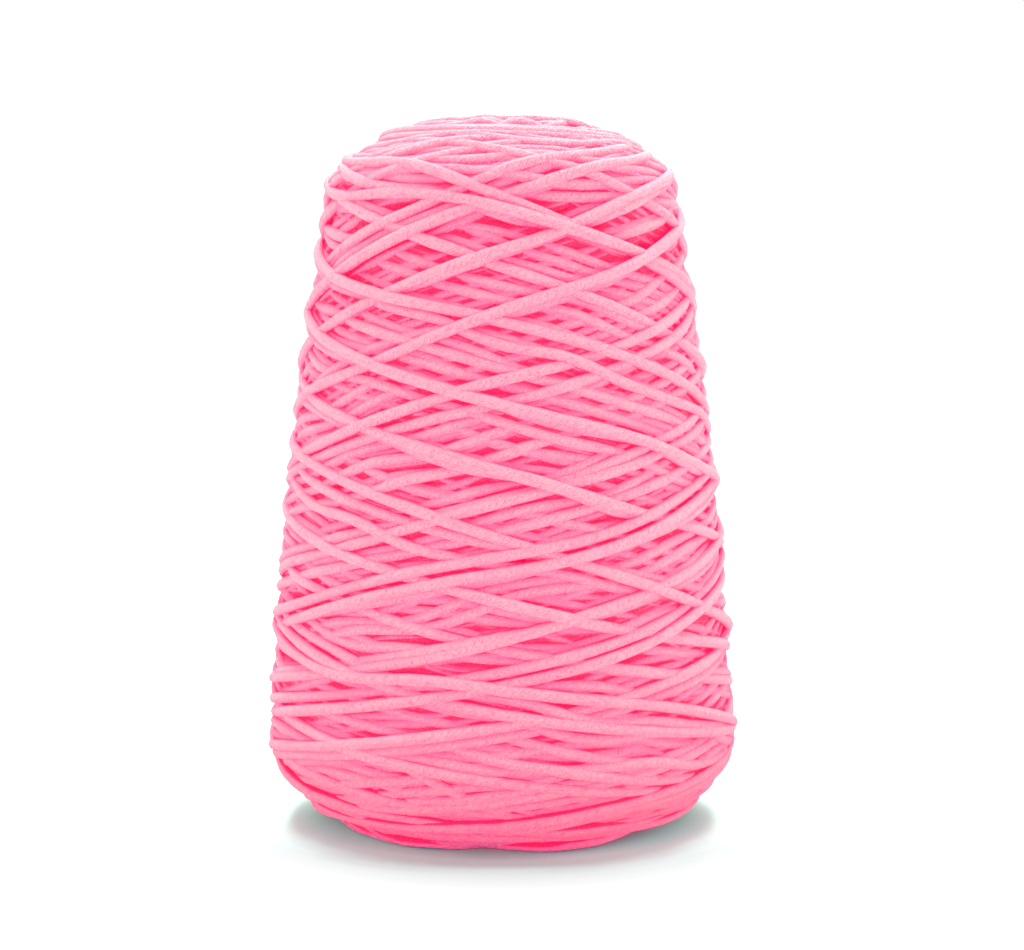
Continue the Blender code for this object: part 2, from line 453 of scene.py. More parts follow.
@dataclass
class Winding:
    """The pile of yarn, laid run by run on a map of its height."""

    outline: Outline
    yarn: Yarn
    law: ClimbLaw
    double_strokes: int = 100
    side_by_side: int = 3
    advance: float = 0.26
    seed: int = 5
    cell: float = 0.0004
    columns: int = 900
    spacing: float = 0.0011
    # how a run slides off its neighbours' shoulders, is pulled taut and joins the last
    slides: int = 3
    slide_steps: tuple[float, ...] = (-0.0012, -0.0006, 0.0, 0.0006, 0.0012)
    slide_cost: float = 30.0
    slide_choice: float = 0.00018
    slide_share: float = 0.8
    cost_evening: float = 3.0
    slide_evening: float = 6.0
    contact: float = 0.88
    contact_points: int = 9
    pulls_taut: int = 260
    least_curve: float = 0.12
    press_step: float = 0.2
    press_points: int = 17
    loose_end: int = 6
    join_reach: float = 0.009
    tuck: float = 0.0080
    tuck_reach: float = 0.020
    # how the free strokes are chosen
    tries: int = 44
    coarse_spacing: float = 0.0044
    longest_rest_falling: float = 2.4
    shortest_rest_beside: float = 0.25
    low_shifts: tuple[float, float] = (-0.007, 0.030)
    high_shifts: tuple[float, float] = (-0.022, 0.008)
    shift_spread: float = 0.004
    stretches: tuple[float, float] = (0.988, 1.012)
    usual_evening: float = 12.0
    hollow_depth: float = 0.002
    # how the pile's face is evened, along the outline and round the cone
    row_evening: float = 0.0012
    round_evening: float = 0.0110
    along_evening: float = 0.0032
    proud_percentile: float = 78
    proud_evening: float = 0.004
    # where nothing stands proud, and where the yarn lies calmer
    free_slope: float = 0.6
    crown_calm: float = 0.45
    calm_from: float = 0.154
    calm_over: float = 0.028
    runs: list[dict[str, Array]] = field(default_factory=list)
    chains: list[dict[str, Array]] = field(default_factory=list)

    def __post_init__(self) -> None:
        """Starts with a bare inner face."""
        self.rows = int(self.outline.end / self.cell) + 2
        self.top = np.zeros((self.rows, self.columns), np.float32)
        self.usual = np.zeros(self.rows)
        self.draw = np.random.default_rng(self.seed)

    def cells(self, angle: Array, s: Array) -> tuple[Array, Array]:
        """The map's cells at places on the outline.

        Args:
            angle: Angles round the axis.
            s: Lengths along the outline.

        Returns:
            The rows and the columns.
        """
        row = np.clip(np.rint(s / self.cell).astype(int), 0, self.rows - 1)
        column = np.rint(angle / math.tau * self.columns).astype(int) % self.columns
        return row, column

    def sideways(self, angle: Array, s: Array) -> tuple[Array, Array]:
        """A step of one metre across the path.

        Args:
            angle: The path's angles round the axis.
            s: Its lengths along the outline.

        Returns:
            The step's change of angle and its change of length.
        """
        radius = self.outline.radius_at(s)
        along = np.gradient(angle) * radius
        up = np.gradient(s)
        size = np.hypot(along, up)
        return -up / size / radius, along / size

    def support(self, angle: Array, s: Array) -> Array:
        """How high the yarn's centre must stand to rest on what is below it.

        Args:
            angle: The path's angles round the axis.
            s: Its lengths along the outline.

        Returns:
            The centre's height at each point of the path.
        """
        turn, shift = self.sideways(angle, s)
        half = self.yarn.half
        best = np.full(len(s), -1.0)
        for across in np.linspace(-self.contact, self.contact, self.contact_points):
            row, column = self.cells(angle + turn * across * half, s + shift * across * half)
            held = self.top[row, column] + half * math.sqrt(1 - across * across)
            best = np.maximum(best, held)
        return best - self.yarn.sinks

    def nudged(self, angle: Array, s: Array, rounds: int) -> tuple[Array, Array]:
        """The path after the yarn has slid sideways off the shoulders of its neighbours.

        Args:
            angle: The path's angles round the axis.
            s: Its lengths along the outline.
            rounds: How many times it slides.

        Returns:
            The angles and the lengths of the path it settles in.
        """
        sides = np.array(self.slide_steps)
        for _ in range(rounds):
            turn, shift = self.sideways(angle, s)
            cost = np.stack([
                smoothed(self.support(angle + turn * d, s + shift * d), self.cost_evening)
                + self.slide_cost * d * d
                for d in sides
            ])
            weight = np.exp(-(cost - cost.min(0)) / self.slide_choice)
            slide = (weight * sides[:, None]).sum(0) / weight.sum(0)
            slide = smoothed(slide, self.slide_evening) * self.slide_share
            angle, s = angle + turn * slide, s + shift * slide
            s = self.outline.kept_inside(s)
        return angle, s

    def taut(self, angle: Array, s: Array, held: Array) -> Array:
        """The height of the yarn's centre once it is pulled straight over its supports.

        Args:
            angle: The path's angles round the axis.
            s: Its lengths along the outline.
            held: The height at which the centre rests on what is below.

        Returns:
            The centre's height at each point of the path.
        """
        radius = self.outline.radius_at(s)
        out, _ = self.outline.normal_at(s)
        step = np.hypot(np.gradient(angle) * radius, np.gradient(s))
        level = (np.gradient(angle) * radius / step) ** 2
        drop = 0.5 * step * step * level * np.maximum(out, self.least_curve) / radius
        lift = held.copy()
        for _ in range(self.pulls_taut):
            lift[1:-1] = np.maximum(held[1:-1], 0.5 * (lift[2:] + lift[:-2]) - drop[1:-1])
        return smoothed(lift, 1.0)

    def press(self, angle: Array, s: Array, lift: Array) -> None:
        """Adds a run to the map of heights.

        Args:
            angle: The run's angles round the axis.
            s: Its lengths along the outline.
            lift: The height of its centre.
        """
        fine = np.arange(0, len(s) - 1, self.press_step)
        at = np.arange(len(s))
        angle, s, lift = (np.interp(fine, at, v) for v in (angle, s, lift))
        turn, shift = self.sideways(angle, s)
        half = self.yarn.half
        for across in np.linspace(-1, 1, self.press_points):
            row, column = self.cells(angle + turn * across * half, s + shift * across * half)
            height = lift + half * math.sqrt(max(0.0, 1 - across * across))
            np.maximum.at(self.top, (row, column), height.astype(np.float32))

    def lay(self, stroke: Stroke, slide: int, ends: bool) -> None:
        """Lays one stroke on the pile and keeps its run.

        Args:
            stroke: The stroke.
            slide: How many times it may slide sideways before it settles.
            ends: Whether the yarn ends here, with its end tucked under.
        """
        angle, s = stroke.route(self.spacing)
        angle, s = self.nudged(angle, s, slide)
        held = self.support(angle, s)
        along = np.arange(len(s)) * self.spacing
        if self.runs and stroke.came_from is not None:
            before = self.runs[-1]
            angle[0], s[0] = before["angle"][-1], before["s"][-1]
            share = np.clip(1 - along / self.join_reach, 0, 1)
            held = held + (before["lift"][-1] - held) * share
        elif self.runs:
            held = held - self.tuck * np.clip(1 - along / self.tuck_reach, 0, 1)
        if ends:
            held = held - self.tuck * np.clip(1 - along[::-1] / self.tuck_reach, 0, 1)
        lift = self.taut(angle, s, held)
        self.press(*(v[:-self.loose_end] for v in (angle, s, lift)))
        run = {"angle": angle, "s": s, "lift": lift}
        if stroke.came_from is not None and self.chains:
            chain = self.chains[-1]
            self.chains[-1] = {k: np.concatenate([chain[k], run[k][1:]]) for k in run}
        else:
            self.chains.append(run)
        self.runs.append(run)

    def quietest(self, way: Way, start: float, came_from: float | None, many: int) -> Stroke:
        """Of several free strokes, the one with the least pile under it.

        Args:
            way: Which way the stroke runs.
            start: The angle that it starts from.
            came_from: The length along the outline that the yarn comes from.
            many: How many strokes will lie side by side, this one first.

        Returns:
            The stroke.
        """
        most = self.longest_rest_falling if way is Way.FALLING else math.tau
        best, least = None, math.inf
        for rest in np.linspace(SHORTEST_REST, SHORTEST_REST + most, self.tries):
            stroke = Stroke(
                way, self.law, start, float(rest),
                low_shift=self.draw.uniform(*self.low_shifts),
                high_shift=self.draw.uniform(*self.high_shifts),
                stretch=self.draw.uniform(*self.stretches),
                came_from=came_from,
            )
            angle, s = stroke.route(self.coarse_spacing)
            cost = 0.0
            for k in range(many):
                row, column = self.cells(angle + k * self.advance, s)
                proud = self.top[row, column] - self.usual[row]
                cost += float(np.mean(proud * np.abs(proud + self.hollow_depth)))
            if cost < least:
                best, least = stroke, cost
        return best

    def beside(self, other: Stroke, start: float, came_from: float | None) -> Stroke:
        """A stroke that lies beside an earlier one of the same way.

        Args:
            other: The earlier stroke.
            start: The angle that the new one starts from.
            came_from: The length along the outline that the yarn comes from.

        Returns:
            The stroke.
        """
        begin = other.start + other.rest + self.advance
        least = self.shortest_rest_beside
        low = other.low_shift + self.draw.normal(0, self.shift_spread)
        high = other.high_shift + self.draw.normal(0, self.shift_spread)
        return Stroke(
            other.way, self.law, start, (begin - start - least) % math.tau + least,
            low_shift=float(np.clip(low, *self.low_shifts)),
            high_shift=float(np.clip(high, *self.high_shifts)),
            stretch=other.stretch,
            came_from=came_from,
        )

    def reached(self) -> tuple[float, float]:
        """The angle and the length along the outline where the last run ends."""
        return float(self.runs[-1]["angle"][-1]), float(self.runs[-1]["s"][-1])

    def wind(self) -> None:
        """Lays the free strokes, and then those that lie outermost at the front."""
        start, came_from = 0.0, None
        last: dict[Way, Stroke] = {}
        for i in range(2 * self.double_strokes):
            way = Way.RISING if i % 2 == 0 else Way.FALLING
            self.usual = smoothed(self.top.mean(1), self.usual_evening)
            if (i // 2) % self.side_by_side == 0:
                last[way] = self.quietest(way, start, came_from, self.side_by_side)
            else:
                last[way] = self.beside(last[way], start, came_from)
            self.lay(last[way], self.slides, False)
            start, came_from = self.reached()
        for i, laid in enumerate(OUTERMOST):
            marks = laid.marks()
            if marks:
                rest = Stroke.rest_before(self.law, laid.way, start, marks)
                stroke = Stroke(
                    laid.way, self.law, start, rest, came_from=came_from, marks=marks,
                    ends_after=laid.ends_after,
                )
            else:
                self.usual = smoothed(self.top.mean(1), self.usual_evening)
                stroke = self.quietest(laid.way, start, came_from, 1)
            follows = i + 1 < len(OUTERMOST) and OUTERMOST[i + 1].way is not laid.way
            follows = follows and laid.ends_after is None
            self.lay(stroke, 0 if marks else self.slides, not follows)
            start, came_from = self.reached()
            came_from = came_from if follows else None

    def face(self) -> Array:
        """The pile's outer face, evened out further round the cone than along it.

        Returns:
            A map of its height.
        """
        usual = smoothed(self.top.mean(1), self.row_evening / self.cell)[:, None]
        wide, tall = self.round_evening / self.cell, self.along_evening / self.cell
        level = np.apply_along_axis(smoothed, 1, self.top - usual, wide, True)
        level = usual + np.apply_along_axis(smoothed, 0, level, tall)
        proud = np.percentile(self.top - level, self.proud_percentile, axis=1)
        return level + smoothed(proud, self.proud_evening / self.cell)[:, None]

    def packed(self, lift: Array, s: Array) -> Array:
        """A lift off the face once the soft yarn is pressed into the pile.

        Args:
            lift: How far the yarn's outer side lies off the pile's face.
            s: Lengths along the outline. Under the base nothing stands proud, and round
                the crown the yarn lies calmer.

        Returns:
            The lift off the outline.
        """
        yarn = self.yarn
        free = np.clip(self.outline.normal_at(s)[0] / self.free_slope, 0.0, 1.0)
        free = np.where(s > 0.5 * self.outline.end, 1.0, free)
        near_crown = np.clip((s - self.calm_from) / self.calm_over, 0.0, 1.0)
        calm = 1 - self.crown_calm * near_crown
        proud = yarn.proud * calm * np.clip(lift, 0.0, yarn.most_proud) + yarn.outside
        proud = proud - (1 - free) * (yarn.proud * yarn.most_proud + yarn.outside)
        sunk = np.minimum(lift, 0.0) * yarn.packing * calm / yarn.deepest
        return proud - yarn.deepest * (1 - np.exp(sunk))

    def sample(self, chart: Array, angle: Array, s: Array) -> Array:
        """A map's values at places on the outline, blended between cells.

        Args:
            chart: The map.
            angle: Angles round the axis.
            s: Lengths along the outline.

        Returns:
            A value for each place.
        """
        row = np.clip(s / self.cell, 0, self.rows - 1.001)
        column = (angle / math.tau * self.columns) % self.columns
        r, c = row.astype(int), column.astype(int) % self.columns
        down, over = row - r, column - np.floor(column)
        nxt = (c + 1) % self.columns
        low = chart[r, c] * (1 - over) + chart[r, nxt] * over
        high = chart[r + 1, c] * (1 - over) + chart[r + 1, nxt] * over
        return low * (1 - down) + high * down


def linked(mesh: bpy.types.Mesh) -> bpy.types.Object:
    """An object for a mesh, smooth and at the origin.

    Args:
        mesh: The mesh, whose name the object takes.

    Returns:
        The object, in the scene.
    """
    mesh.shade_smooth()
    piece = bpy.data.objects.new(mesh.name, mesh)
    bpy.context.scene.collection.objects.link(piece)
    return piece


@dataclass
class Sweep:
    """Runs of yarn that one mesh holds, swept by a curve's own round bevel."""

    name: str
    yarn: Yarn
    runs: list[tuple[Array, Array]]

    def build(self) -> bpy.types.Object:
        """Makes the mesh. Its UV map holds the length along the yarn and the turn round it.

        Returns:
            The piece.
        """
        curve = bpy.data.curves.new(self.name, "CURVE")
        curve.dimensions = "3D"
        curve.bevel_depth = self.yarn.half
        curve.bevel_resolution = self.yarn.sides_resolution
        curve.twist_mode = "Z_UP"
        for points, length in self.runs:
            spline = curve.splines.new("POLY")
            spline.points.add(len(points) - 1)
            weighted = np.hstack([points, np.ones((len(points), 1))])
            spline.points.foreach_set("co", weighted.ravel())
            spline.points.foreach_set("radius", self.fullness(length))
        swept = bpy.data.objects.new(self.name, curve)
        bpy.context.scene.collection.objects.link(swept)
        graph = bpy.context.evaluated_depsgraph_get()
        mesh = bpy.data.meshes.new_from_object(swept.evaluated_get(graph))
        bpy.data.objects.remove(swept)
        bpy.data.curves.remove(curve)
        mesh.name = self.name
        self.measure(mesh)
        return linked(mesh)

    def fullness(self, length: Array) -> Array:
        """How full the soft yarn is along a run, down to nothing at its tips.

        Args:
            length: The lengths along the yarn.

        Returns:
            Shares of the usual thickness.
        """
        swell = sum(np.sin(length * rate + phase) for rate, phase in self.yarn.swells)
        tip = np.minimum(length - length[0], length[-1] - length)
        closed = np.sqrt(np.clip(tip / self.yarn.half, 0.0, 1.0))
        return (1 + self.yarn.unevenness * swell) * closed

    def measure(self, mesh: bpy.types.Mesh) -> None:
        """Writes the real length along the yarn into the UV map, in twists.

        Args:
            mesh: The swept runs.
        """
        along = np.concatenate([length for _, length in self.runs])
        sides = len(mesh.vertices) // len(along)
        corner = np.zeros(len(mesh.loops), np.int32)
        mesh.loops.foreach_get("vertex_index", corner)
        uv = np.zeros(2 * len(mesh.loops), np.float32)
        mesh.uv_layers[0].data.foreach_get("uv", uv)
        uv = uv.reshape(-1, 2)
        uv[:, 0] = along[corner // sides] / self.yarn.twist_pitch
        mesh.uv_layers[0].data.foreach_set("uv", uv.ravel())


class SubAssembly:
    """Pieces of the cone that take one finish."""

    def build(self) -> list[bpy.types.Object]:
        """Makes the pieces."""
        raise NotImplementedError

    def dress(self, finish: bpy.types.Material) -> list[bpy.types.Object]:
        """Builds each piece, with its material, its body and its slot, in place of the solid.

        Args:
            finish: The material.

        Returns:
            The pieces.
        """
        pieces = self.build()
        for piece in pieces:
            piece.data.materials.clear()
            piece.data.materials.append(finish)
            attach(piece, "root")
            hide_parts(NODE)
        return pieces


@dataclass
class Strands(SubAssembly):
    """The visible strands of the winding, as a few meshes."""

    winding: Winding
    hidden_depth: float = 0.0120
    most_points: int = 9000
    # painted shade down the strands' sides, stronger under the base; painted light on the base's
    # underside and the crown; the most painted shade that depth adds
    side_shade_weight: float = 3.0
    base_side_shade: float = 2.0
    base_light: float = 1.45
    crown_light: float = 0.5
    buried_most: float = 1.0
    level_widths: tuple[float, float] = (0.0012, 0.0026)
    path_evening: float = 2.0
    near_evening: float = 2.0
    near_share: float = 0.02
    fewest_points: int = 3

    def __post_init__(self) -> None:
        """Measures the pile, whose outermost yarn is set on the outline."""
        self.face = self.winding.face()
        top = self.winding.top
        # the pile's local level, from which the painted shade of buried yarn is measured
        self.level = -self.face
        for width in self.level_widths:
            wide = width / self.winding.cell
            level = np.apply_along_axis(smoothed, 1, top.astype(float), wide, True)
            level = np.apply_along_axis(smoothed, 0, level, wide)
            self.level = self.level + level / len(self.level_widths)

    def stretches(self) -> list[dict[str, Array]]:
        """The stretches of the runs that lie near enough to the outside to be seen.

        Returns:
            For each, its points, their lengths along the yarn and how far its outer side
            lies off the pile's face.
        """
        winding, yarn = self.winding, self.winding.yarn
        kept: list[dict[str, Array]] = []
        along = 0.0
        for chain in winding.chains:
            angle, s, lift = (eased(chain[k], self.path_evening) for k in ("angle", "s", "lift"))
            outer = lift + yarn.half - winding.sample(self.face, angle, s)
            lift = winding.packed(outer, s) - yarn.half
            points = winding.outline.place(s, angle, lift, yarn.fullest_half)
            length = running_length(points)
            even = np.linspace(0, length[-1], max(2, int(length[-1] / yarn.point_spacing)))
            near = np.interp(even, length, outer) > -self.hidden_depth
            near = smoothed(near.astype(float), self.near_evening) > self.near_share
            edges = np.flatnonzero(np.diff(np.concatenate([[0], near.astype(int), [0]])))
            for first, last in zip(edges[::2], edges[1::2]):
                at = even[first:last]
                if last - first > self.fewest_points:
                    kept.append({
                        "points": np.stack([np.interp(at, length, c) for c in points.T], 1),
                        "along": along + at,
                        "outer": np.interp(at, length, outer),
                    })
            along += length[-1]
        return kept

    def build(self) -> list[bpy.types.Object]:
        """Makes the strands' meshes, each of as many stretches as a piece may hold.

        Returns:
            The pieces.
        """
        batches: list[list[dict[str, Array]]] = [[]]
        count = 0
        for stretch in self.stretches():
            if count + len(stretch["points"]) > self.most_points:
                batches.append([])
                count = 0
            batches[-1].append(stretch)
            count += len(stretch["points"])
        return [self.piece(batch, i + 1) for i, batch in enumerate(batches)]

    def piece(self, batch: list[dict[str, Array]], number: int) -> bpy.types.Object:
        """One mesh of several stretches.

        Args:
            batch: The stretches.
            number: The piece's number.

        Returns:
            The piece.
        """
        runs = [(b["points"], b["along"]) for b in batch]
        strand = Sweep(f"strands_{number}", self.winding.yarn, runs).build()
        self.mark_painted_shade(strand.data, batch)
        return strand

    def mark_painted_shade(self, mesh: bpy.types.Mesh, batch: list[dict[str, Array]]) -> None:
        """Marks each point's painted shade, by its depth in the pile and down its strand's own
        side.

        Args:
            mesh: The swept stretches.
            batch: The stretches that it was swept from.
        """
        yarn, outline = self.winding.yarn, self.winding.outline
        centre = np.concatenate([b["points"] for b in batch])
        outer = np.concatenate([b["outer"] for b in batch])
        ring = np.arange(len(mesh.vertices)) // (len(mesh.vertices) // len(outer))
        co = np.zeros(3 * len(mesh.vertices))
        mesh.vertices.foreach_get("co", co)
        x, y, z = co.reshape(-1, 3).T
        radius = np.hypot(x, y)
        s = self.nearest(radius, z)
        level = self.winding.sample(self.level, np.arctan2(y, x), s)
        # painted shade in the crevices: the deeper under the local level, the darker
        under = (level - outer[ring]) / yarn.thickness
        buried = self.buried_most * (1 - np.exp(-np.maximum(under, 0.0) / self.buried_most))
        out, up = outline.normal_at(s)
        off = (radius - np.hypot(*centre.T[:2])[ring]) * out + (z - centre[ring, 2]) * up
        # painted shade down each strand's own side, stronger on the base's underside
        down_side = (yarn.half - off) / yarn.thickness
        below = np.maximum(-up, 0.0)
        down_side *= self.side_shade_weight * (1 + self.base_side_shade * below)
        # painted light: the base's underside and the crown are painted lighter
        lit = self.base_light * below + self.crown_light * np.maximum(up, 0.0) ** 2
        painted_shade = np.minimum(under, 0.0) + buried + down_side - lit
        mark = mesh.attributes.new("painted_shade", "FLOAT", "POINT")
        mark.data.foreach_set("value", painted_shade.astype(np.float32))

    def nearest(self, radius: Array, height: Array) -> Array:
        """The lengths along the outline where points are nearest to it.

        Args:
            radius: The points' radii.
            height: Their heights.

        Returns:
            The lengths.
        """
        outline = self.winding.outline
        best = np.full(len(radius), math.inf)
        at = np.zeros(len(radius), int)
        for i in range(0, len(outline.length), 2):
            far = (radius - outline.radius[i]) ** 2 + (height - outline.rise[i]) ** 2
            closer = far < best
            best[closer] = far[closer]
            at[closer] = i
        return outline.length[at]


@dataclass(frozen=True)
class Bore(SubAssembly):
    """The tapered hollow that the former leaves, lined by the innermost turns of yarn."""

    outline: Outline
    yarn: Yarn
    base_radius: float = 0.0305
    nose_radius: float = 0.0130
    lip: float = 0.0045
    pitch: float = 0.0031
    wave: float = 0.00025
    wave_rate: float = 0.37
    base_bend: float = 0.002
    bend_points: int = 12
    turn_step: float = math.radians(6)
    coarser: float = 1.25
    # painted shade, even over the lining
    painted_shade: float = 0.4

    def route(self) -> tuple[Array, Array]:
        """The line that the lining yarn's centre follows, from the base ring to the crown.

        Returns:
            Its points, as radius and height, and their lengths along it.
        """
        half = self.yarn.half
        lowest = self.yarn.fullest_half
        quarter = np.linspace(0, 0.5 * math.pi, self.bend_points)
        top = self.outline.height
        lip_centre = self.nose_radius + self.lip
        ring = np.array([[self.outline.flat_radius - half, lowest]])
        bend = np.stack([
            self.base_radius + half + self.base_bend * (1 - np.sin(quarter)),
            lowest + self.base_bend * (1 - np.cos(quarter)),
        ], 1)
        nose = np.stack([
            lip_centre - (self.lip - half) * np.cos(quarter),
            top - self.lip + (self.lip - half) * np.sin(quarter),
        ], 1)
        crown = np.array([[self.outline.crown_radius, top - half]])
        points = np.concatenate([ring, bend, nose, crown])
        length = np.concatenate([[0], np.cumsum(np.hypot(*np.diff(points, axis=0).T))])
        return points, length

    def build(self) -> list[bpy.types.Object]:
        """The yarn that lines the bore, one close coil.

        Returns:
            The piece.
        """
        points, length = self.route()
        turns = length[-1] / self.pitch
        angle = np.arange(0, turns * math.tau, self.turn_step)
        at = angle / math.tau * self.pitch + self.wave * np.sin(angle * self.wave_rate)
        radius = np.interp(at, length, points[:, 0])
        height = np.interp(at, length, points[:, 1])
        route = np.stack([radius * np.cos(angle), radius * np.sin(angle), height], 1)
        along = running_length(route)
        even = np.arange(0, along[-1], self.coarser * self.yarn.point_spacing)
        route = np.stack([np.interp(even, along, c) for c in route.T], 1)
        coil = Sweep("bore_lining", self.yarn, [(route, even)]).build()
        # the lining is painted in even shade
        mark = coil.data.attributes.new("painted_shade", "FLOAT", "POINT")
        mark.data.foreach_set("value", np.full(len(coil.data.vertices), self.painted_shade, np.float32))
        return [coil]


@dataclass(frozen=True)
class Backing(SubAssembly):
    """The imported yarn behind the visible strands, a turned body with a bore."""

    outline: Outline
    bore: Bore
    depth: float = 0.0042
    lowest: float = 0.004
    behind_lining: float = 0.0008
    under_lining: float = 0.0004
    points: int = 60
    steps: int = 96
    merged_within: float = 1e-6

    def build(self) -> list[bpy.types.Object]:
        """Spins the body's profile round the axis.

        Returns:
            The piece.
        """
        outline = self.outline
        at = np.linspace(0.0, outline.end, self.points)
        out, up = outline.normal_at(at)
        radius = outline.radius_at(at) - out * self.depth
        height = outline.height_at(at) - up * self.depth
        profile = [(r, z) for r, z in zip(radius, height) if z > self.lowest]
        lining, _ = self.bore.route()
        for r, z in lining[-2:0:-1]:
            profile.append((r + self.behind_lining, z - self.under_lining))
        bm = bmesh.new()
        verts = [bm.verts.new((r, 0.0, z)) for r, z in profile]
        edges = [bm.edges.new(pair) for pair in zip(verts, verts[1:] + verts[:1])]
        bmesh.ops.spin(
            bm, geom=verts + edges, cent=(0, 0, 0), axis=(0, 0, 1), angle=math.tau,
            steps=self.steps, use_merge=True,
        )
        bmesh.ops.remove_doubles(bm, verts=bm.verts, dist=self.merged_within)
        bmesh.ops.recalc_face_normals(bm, faces=bm.faces)
        mesh = bpy.data.meshes.new("packed_core")
        bm.to_mesh(mesh)
        bm.free()
        return [linked(mesh)]


class Nodes:
    """A new material and a short way to wire its shader nodes."""

    def __init__(self, name: str) -> None:
        """Starts a material.

        Args:
            name: Its name.
        """
        self.material = bpy.data.materials.new(name)
        self.material.use_nodes = True
        self.tree = self.material.node_tree
        self.shader = self.tree.nodes["Principled BSDF"]

    def feed(self, node: bpy.types.Node, values: dict[str | int, object]) -> None:
        """Sets a node's sockets, or links them to other nodes' outputs.

        Args:
            node: The node.
            values: A number, a colour or an output for each socket's name or place.
        """
        for name, value in values.items():
            if isinstance(value, bpy.types.NodeSocket):
                self.tree.links.new(value, node.inputs[name])
            else:
                node.inputs[name].default_value = value

    def add(self, kind: str, values: dict[str | int, object], **settings: str) -> bpy.types.Node:
        """Adds a node.

        Args:
            kind: Its type, as it is called after ShaderNode.
            values: A number, a colour or an output for each socket's name or place.
            settings: Its own settings.

        Returns:
            The node.
        """
        node = self.tree.nodes.new("ShaderNode" + kind)
        for name, value in settings.items():
            setattr(node, name, value)
        self.feed(node, values)
        return node

    def math(self, operation: str, *values: object) -> bpy.types.NodeSocket:
        """The output of a Math node on some values."""
        return self.add("Math", dict(enumerate(values)), operation=operation).outputs[0]

    def mix(self, share: object, first: object, second: object) -> bpy.types.NodeSocket:
        """A blend of two colours.

        Args:
            share: How much of the second colour it takes, from 0 to 1.
            first: One colour, or an output.
            second: The other.

        Returns:
            The blend.
        """
        blend = self.add("Mix", {}, data_type="RGBA")
        self.feed(blend, {"Factor": share, 6: first, 7: second})
        return blend.outputs[2]

    def ramp(
        self, value: bpy.types.NodeSocket, reach: tuple[float, float]
    ) -> bpy.types.NodeSocket:
        """A value stretched from 0 to 1 over a reach of its own, eased at both ends."""
        ends = {"Value": value, "From Min": reach[0], "From Max": reach[1]}
        return self.add("MapRange", ends, interpolation_type="SMOOTHSTEP").outputs[0]

    def place(self) -> bpy.types.NodeSocket:
        """The place on the object."""
        return self.add("TexCoord", {}).outputs["Object"]


